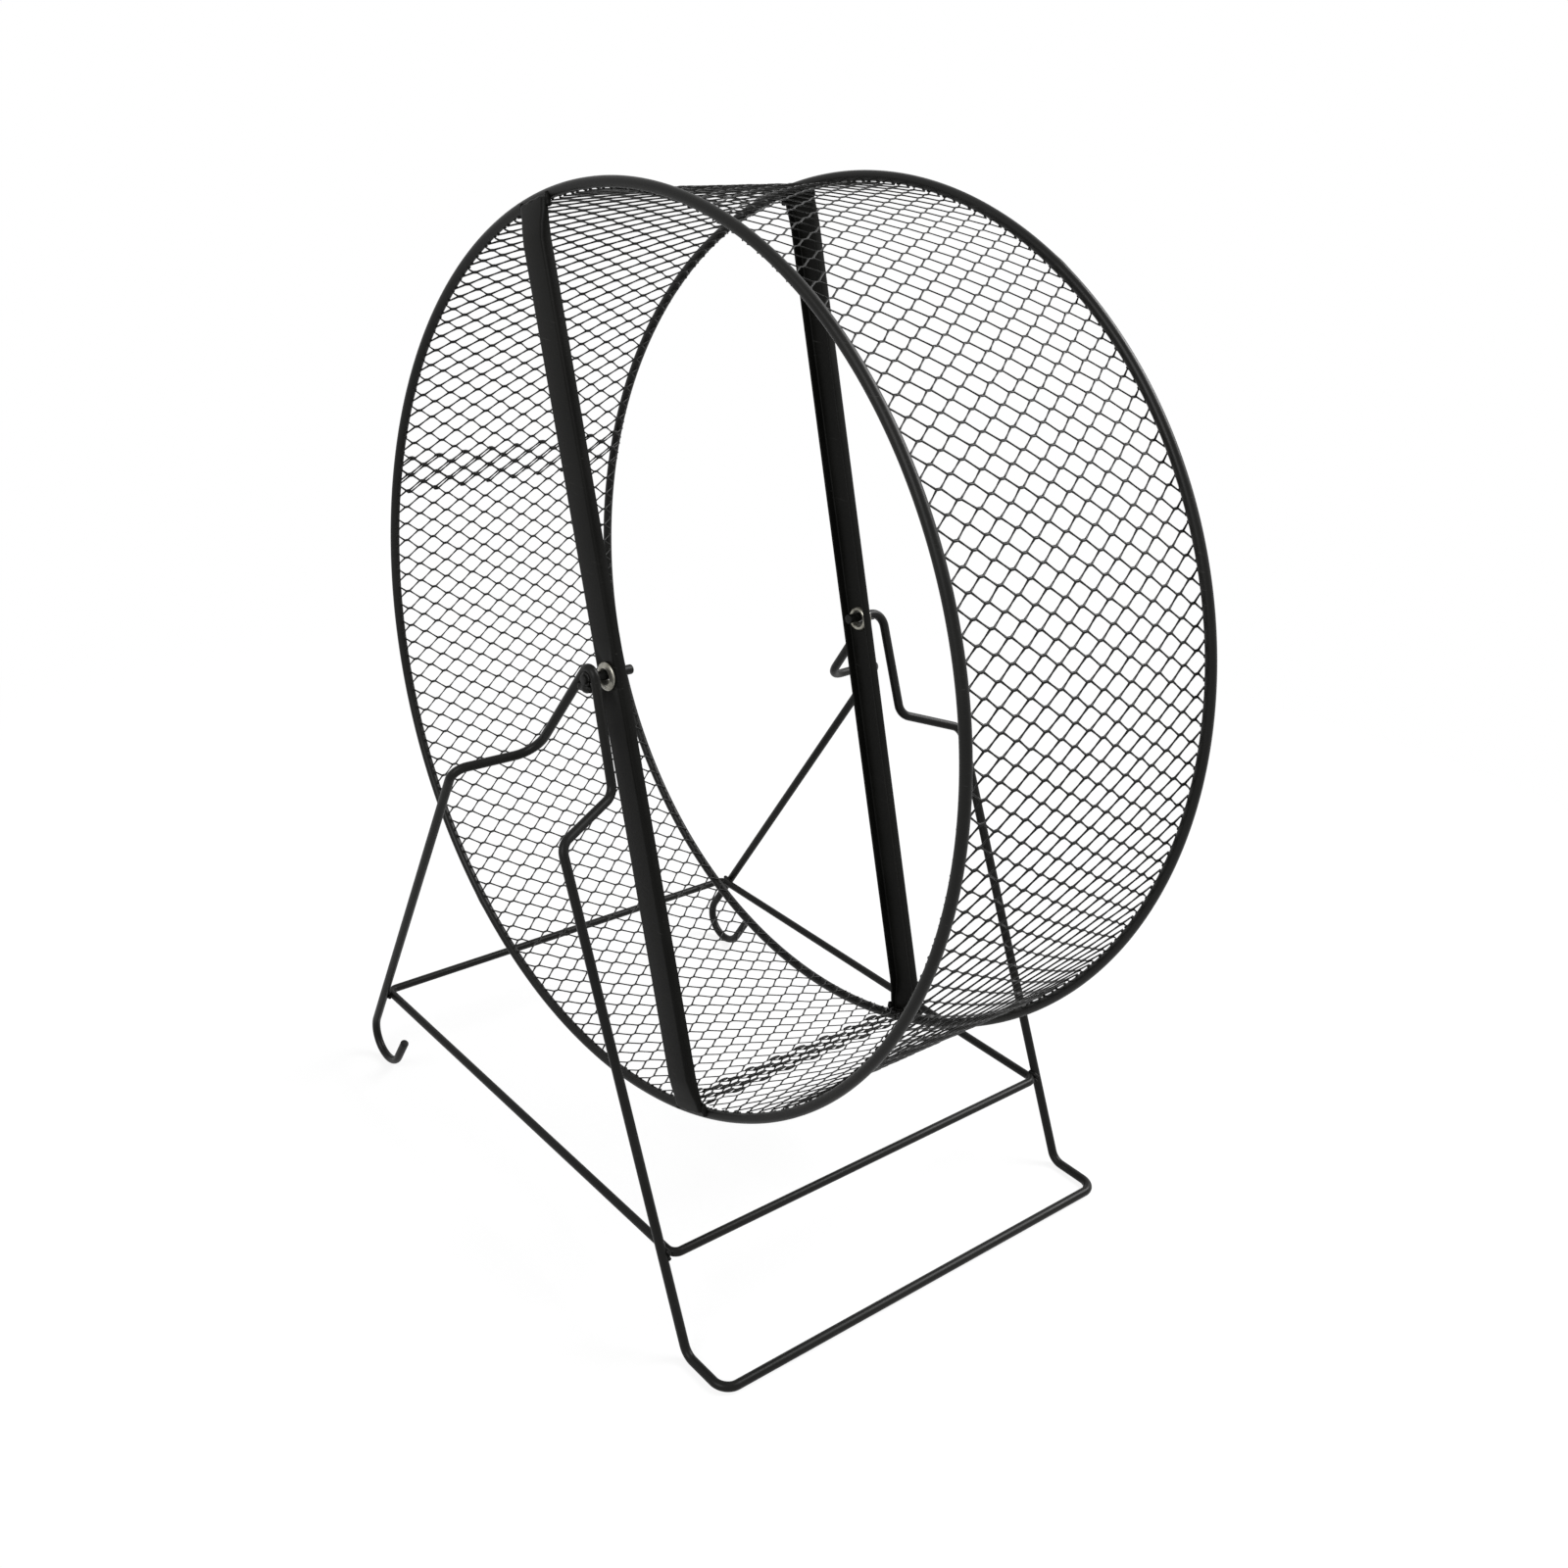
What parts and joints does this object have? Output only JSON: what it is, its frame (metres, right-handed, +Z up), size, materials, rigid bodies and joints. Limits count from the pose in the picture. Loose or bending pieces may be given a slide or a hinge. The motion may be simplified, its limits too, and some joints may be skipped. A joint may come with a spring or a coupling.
{
  "type": "hamster wheel",
  "caption": "Free-standing exercise wheel for small animals: an expanded metal drum between wire rings turns on the bent ends of a welded wire stand.",
  "frame": {"origin": "on the surface that the stand rests on, straight under the hub, at the bottom centre of the box", "axes": "+Z up; the wheel turns about Y; the foot bar is the front, at +X, and the hooked feet are at -X"},
  "size_m": [0.28, 0.1828, 0.32],
  "materials": {
    "stand_paint": "satin black",
    "wheel_paint": "satin black",
    "mesh_paint": "satin black",
    "eyelet_plate": "dull nickel plate"
  },
  "bodies": {
    "stand": {"front_frame": "stand_paint", "left_rear_leg": "stand_paint", "right_rear_leg": "stand_paint", "base_loop": "stand_paint"},
    "wheel": {"left_ring": "wheel_paint", "right_ring": "wheel_paint", "left_crossbar": "wheel_paint", "right_crossbar": "wheel_paint", "left_eyelet": "eyelet_plate", "right_eyelet": "eyelet_plate", "long_mesh_sheet": "mesh_paint", "short_mesh_sheet": "mesh_paint"}
  },
  "joints": [
    {"name": "wheel_spin", "type": "hinge", "parent": "stand", "child": "wheel", "pos_m": [0, 0, 0.18], "axis": [0, 1, 0], "continuous": true}
  ]
}
